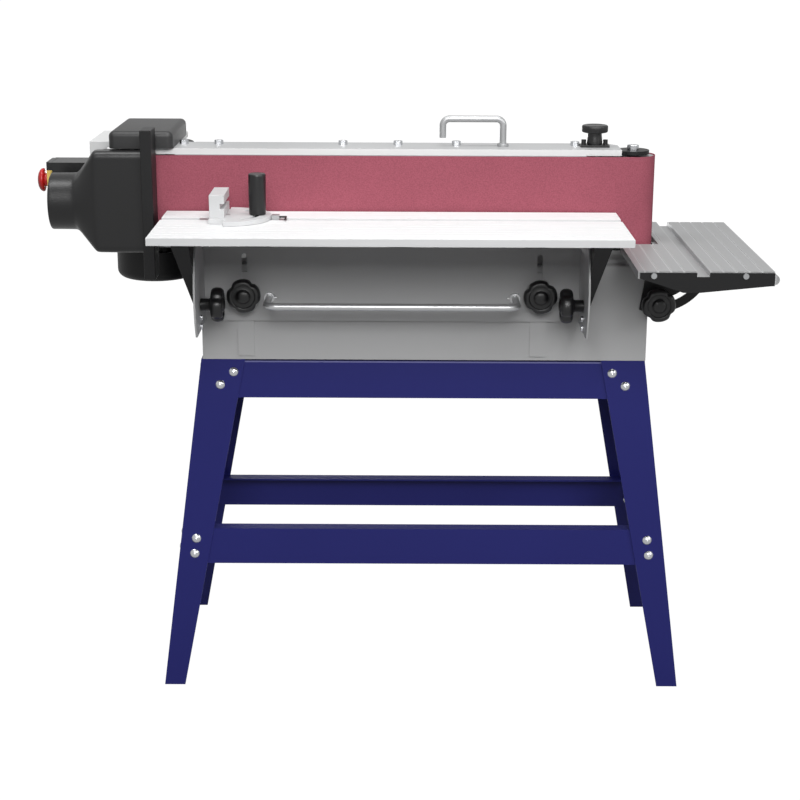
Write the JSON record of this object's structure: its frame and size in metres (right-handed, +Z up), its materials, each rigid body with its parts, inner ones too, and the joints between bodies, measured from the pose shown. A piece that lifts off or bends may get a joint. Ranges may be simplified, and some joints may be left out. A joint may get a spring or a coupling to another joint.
{
  "type": "edge sander",
  "caption": "Floor-standing edge sander: upright abrasive belt over two drums, tilting and lifting main table with mitre gauge, tilting end table, splayed sheet-metal stand.",
  "frame": {"origin": "middle of the footprint of the whole machine, on the floor", "axes": "+X along the belt towards the idler end, -Y towards the operator, +Z up"},
  "size_m": [1.206, 0.574, 0.9905],
  "materials": {
    "navy_paint": "satin",
    "grey_paint": "satin",
    "black_plastic": "matte",
    "black_steel": "satin",
    "steel": "polished",
    "aluminium": "brushed",
    "rubber": "matte",
    "abrasive": "matte",
    "yellow_plastic": "satin",
    "red_plastic": "satin",
    "green_plastic": "satin",
    "cast_iron": "satin"
  },
  "bodies": {
    "frame": {"leg_front_left": "navy_paint", "leg_front_right": "navy_paint", "leg_rear_left": "navy_paint", "leg_rear_right": "navy_paint", "rail_top_front": "navy_paint", "rail_top_rear": "navy_paint", "rail_top_sides": "navy_paint", "rail_low_front": "navy_paint", "rail_low_rear": "navy_paint", "rail_low_sides": "navy_paint", "stand_bolts": "steel", "cabinet": "grey_paint", "guide_strips": "grey_paint", "base_rail": "grey_paint", "head_frame": "grey_paint", "platen": "black_steel", "head_cover": "grey_paint", "cover_bolts": "steel", "rear_guard": "grey_paint", "drum_arm": "grey_paint", "drum_bearing": "steel", "motor_plate": "grey_paint", "motor": "aluminium", "fan_cover": "black_plastic", "drive_belt": "rubber", "drive_cap": "black_plastic", "sanding_belt": "abrasive", "lever_boss": "steel", "tracking_base": "black_plastic", "dust_hood": "black_plastic", "work_stop": "black_steel", "switch_box": "black_plastic", "end_brackets": "black_steel"},
    "carrier": {"table_carrier": "grey_paint", "lift_bar": "steel", "stop_bolts": "steel"},
    "table": {"main_table": "aluminium", "table_arm_left": "black_steel", "table_arm_right": "black_steel"},
    "lock_left": {"lock_knob_left": "black_plastic"},
    "lock_right": {"lock_knob_right": "black_plastic"},
    "tilt_left": {"tilt_knob_left": "black_plastic"},
    "tilt_right": {"tilt_knob_right": "black_plastic"},
    "gauge": {"gauge_bar": "aluminium"},
    "gauge_plate": {"gauge_head": "aluminium", "gauge_fence": "aluminium"},
    "gauge_clamp": {"gauge_handle": "black_plastic"},
    "end": {"end_table": "aluminium", "end_quadrants": "black_steel"},
    "end_lock": {"end_knob": "black_plastic"},
    "rotor": {"motor_pulley": "steel"},
    "drum": {"drive_drum": "aluminium"},
    "yoke": {"idler_yoke": "black_steel", "axle_bolt": "steel"},
    "idler": {"idler_drum": "aluminium"},
    "lever": {"tension_lever": "steel"},
    "tracking": {"tracking_knob": "black_plastic"},
    "lid": {"switch_lid": "yellow_plastic"},
    "start": {"start_button": "green_plastic"},
    "stop": {"stop_button": "red_plastic"}
  },
  "joints": [
    {"name": "table_lift", "type": "slide", "parent": "frame", "child": "carrier", "axis": [0, 0, 1], "range_m": [-0.06, 0]},
    {"name": "table_tilt", "type": "hinge", "parent": "carrier", "child": "table", "pos_m": [0.007, -0.0898, 0.691], "axis": [1, 0, 0], "range_deg": [0, 45]},
    {"name": "tilt_knob_left_turn", "type": "hinge", "parent": "carrier", "child": "tilt_left", "pos_m": [-0.3, -0.0898, 0.691], "axis": [1, 0, 0], "range_deg": [0, 360]},
    {"name": "tilt_knob_right_turn", "type": "hinge", "parent": "carrier", "child": "tilt_right", "pos_m": [0.314, -0.0898, 0.691], "axis": [1, 0, 0], "range_deg": [0, 360]},
    {"name": "lock_knob_left_turn", "type": "hinge", "parent": "frame", "child": "lock_left", "pos_m": [-0.241, -0.03, 0.696], "axis": [0, 1, 0], "range_deg": [0, 360]},
    {"name": "lock_knob_right_turn", "type": "hinge", "parent": "frame", "child": "lock_right", "pos_m": [0.255, -0.03, 0.696], "axis": [0, 1, 0], "range_deg": [0, 360]},
    {"name": "gauge_slide", "type": "slide", "parent": "table", "child": "gauge", "axis": [1, 0, 0], "range_m": [-0.05, 0.5]},
    {"name": "gauge_swing", "type": "hinge", "parent": "gauge", "child": "gauge_plate", "pos_m": [-0.258, -0.117, 0.842], "axis": [0, 0, 1], "range_deg": [-45, 45]},
    {"name": "gauge_clamp_turn", "type": "hinge", "parent": "gauge", "child": "gauge_clamp", "pos_m": [-0.209, -0.117, 0.85], "axis": [0, 0, 1], "range_deg": [0, 360]},
    {"name": "end_tilt", "type": "hinge", "parent": "frame", "child": "end", "pos_m": [0.453, -0.05, 0.757], "axis": [0, 1, 0], "range_deg": [0, 45]},
    {"name": "end_knob_turn", "type": "hinge", "parent": "frame", "child": "end_lock", "pos_m": [0.453, -0.03, 0.683], "axis": [0, 1, 0], "range_deg": [0, 360]},
    {"name": "drum_spin", "type": "hinge", "parent": "frame", "child": "drum", "pos_m": [-0.406, 0, 0.85], "axis": [0, 0, 1], "continuous": true},
    {"name": "motor_spin", "type": "hinge", "parent": "frame", "child": "rotor", "pos_m": [-0.406, 0.12, 0.92], "axis": [0, 0, 1], "continuous": true},
    {"name": "lever_turn", "type": "hinge", "parent": "frame", "child": "lever", "pos_m": [0.19, 0.008, 0.95], "axis": [0, 0, 1], "range_deg": [0, 90]},
    {"name": "idler_slide", "type": "slide", "parent": "frame", "child": "yoke", "axis": [1, 0, 0], "range_m": [-0.01, 0]},
    {"name": "idler_spin", "type": "hinge", "parent": "yoke", "child": "idler", "pos_m": [0.405, 0, 0.85], "axis": [0, 0, 1], "continuous": true},
    {"name": "tracking_turn", "type": "hinge", "parent": "frame", "child": "tracking", "pos_m": [0.342, 0.008, 0.96], "axis": [0, 0, 1], "range_deg": [-180, 180]},
    {"name": "lid_swing", "type": "hinge", "parent": "frame", "child": "lid", "pos_m": [-0.5751, 0.094, 0.8994], "axis": [0, 1, 0], "range_deg": [0, 100]},
    {"name": "start_press", "type": "slide", "parent": "frame", "child": "start", "axis": [1, 0, 0], "range_m": [0, 0.003], "stiffness_N_per_m": 400},
    {"name": "stop_press", "type": "slide", "parent": "frame", "child": "stop", "axis": [1, 0, 0], "range_m": [0, 0.003], "stiffness_N_per_m": 400}
  ],
  "couplings": [
    {"joint": "motor_spin", "follows": "drum_spin", "ratio": 1},
    {"joint": "idler_spin", "follows": "drum_spin", "ratio": 1},
    {"joint": "lever_turn", "follows": "idler_slide", "rad_per_m": -157}
  ]
}
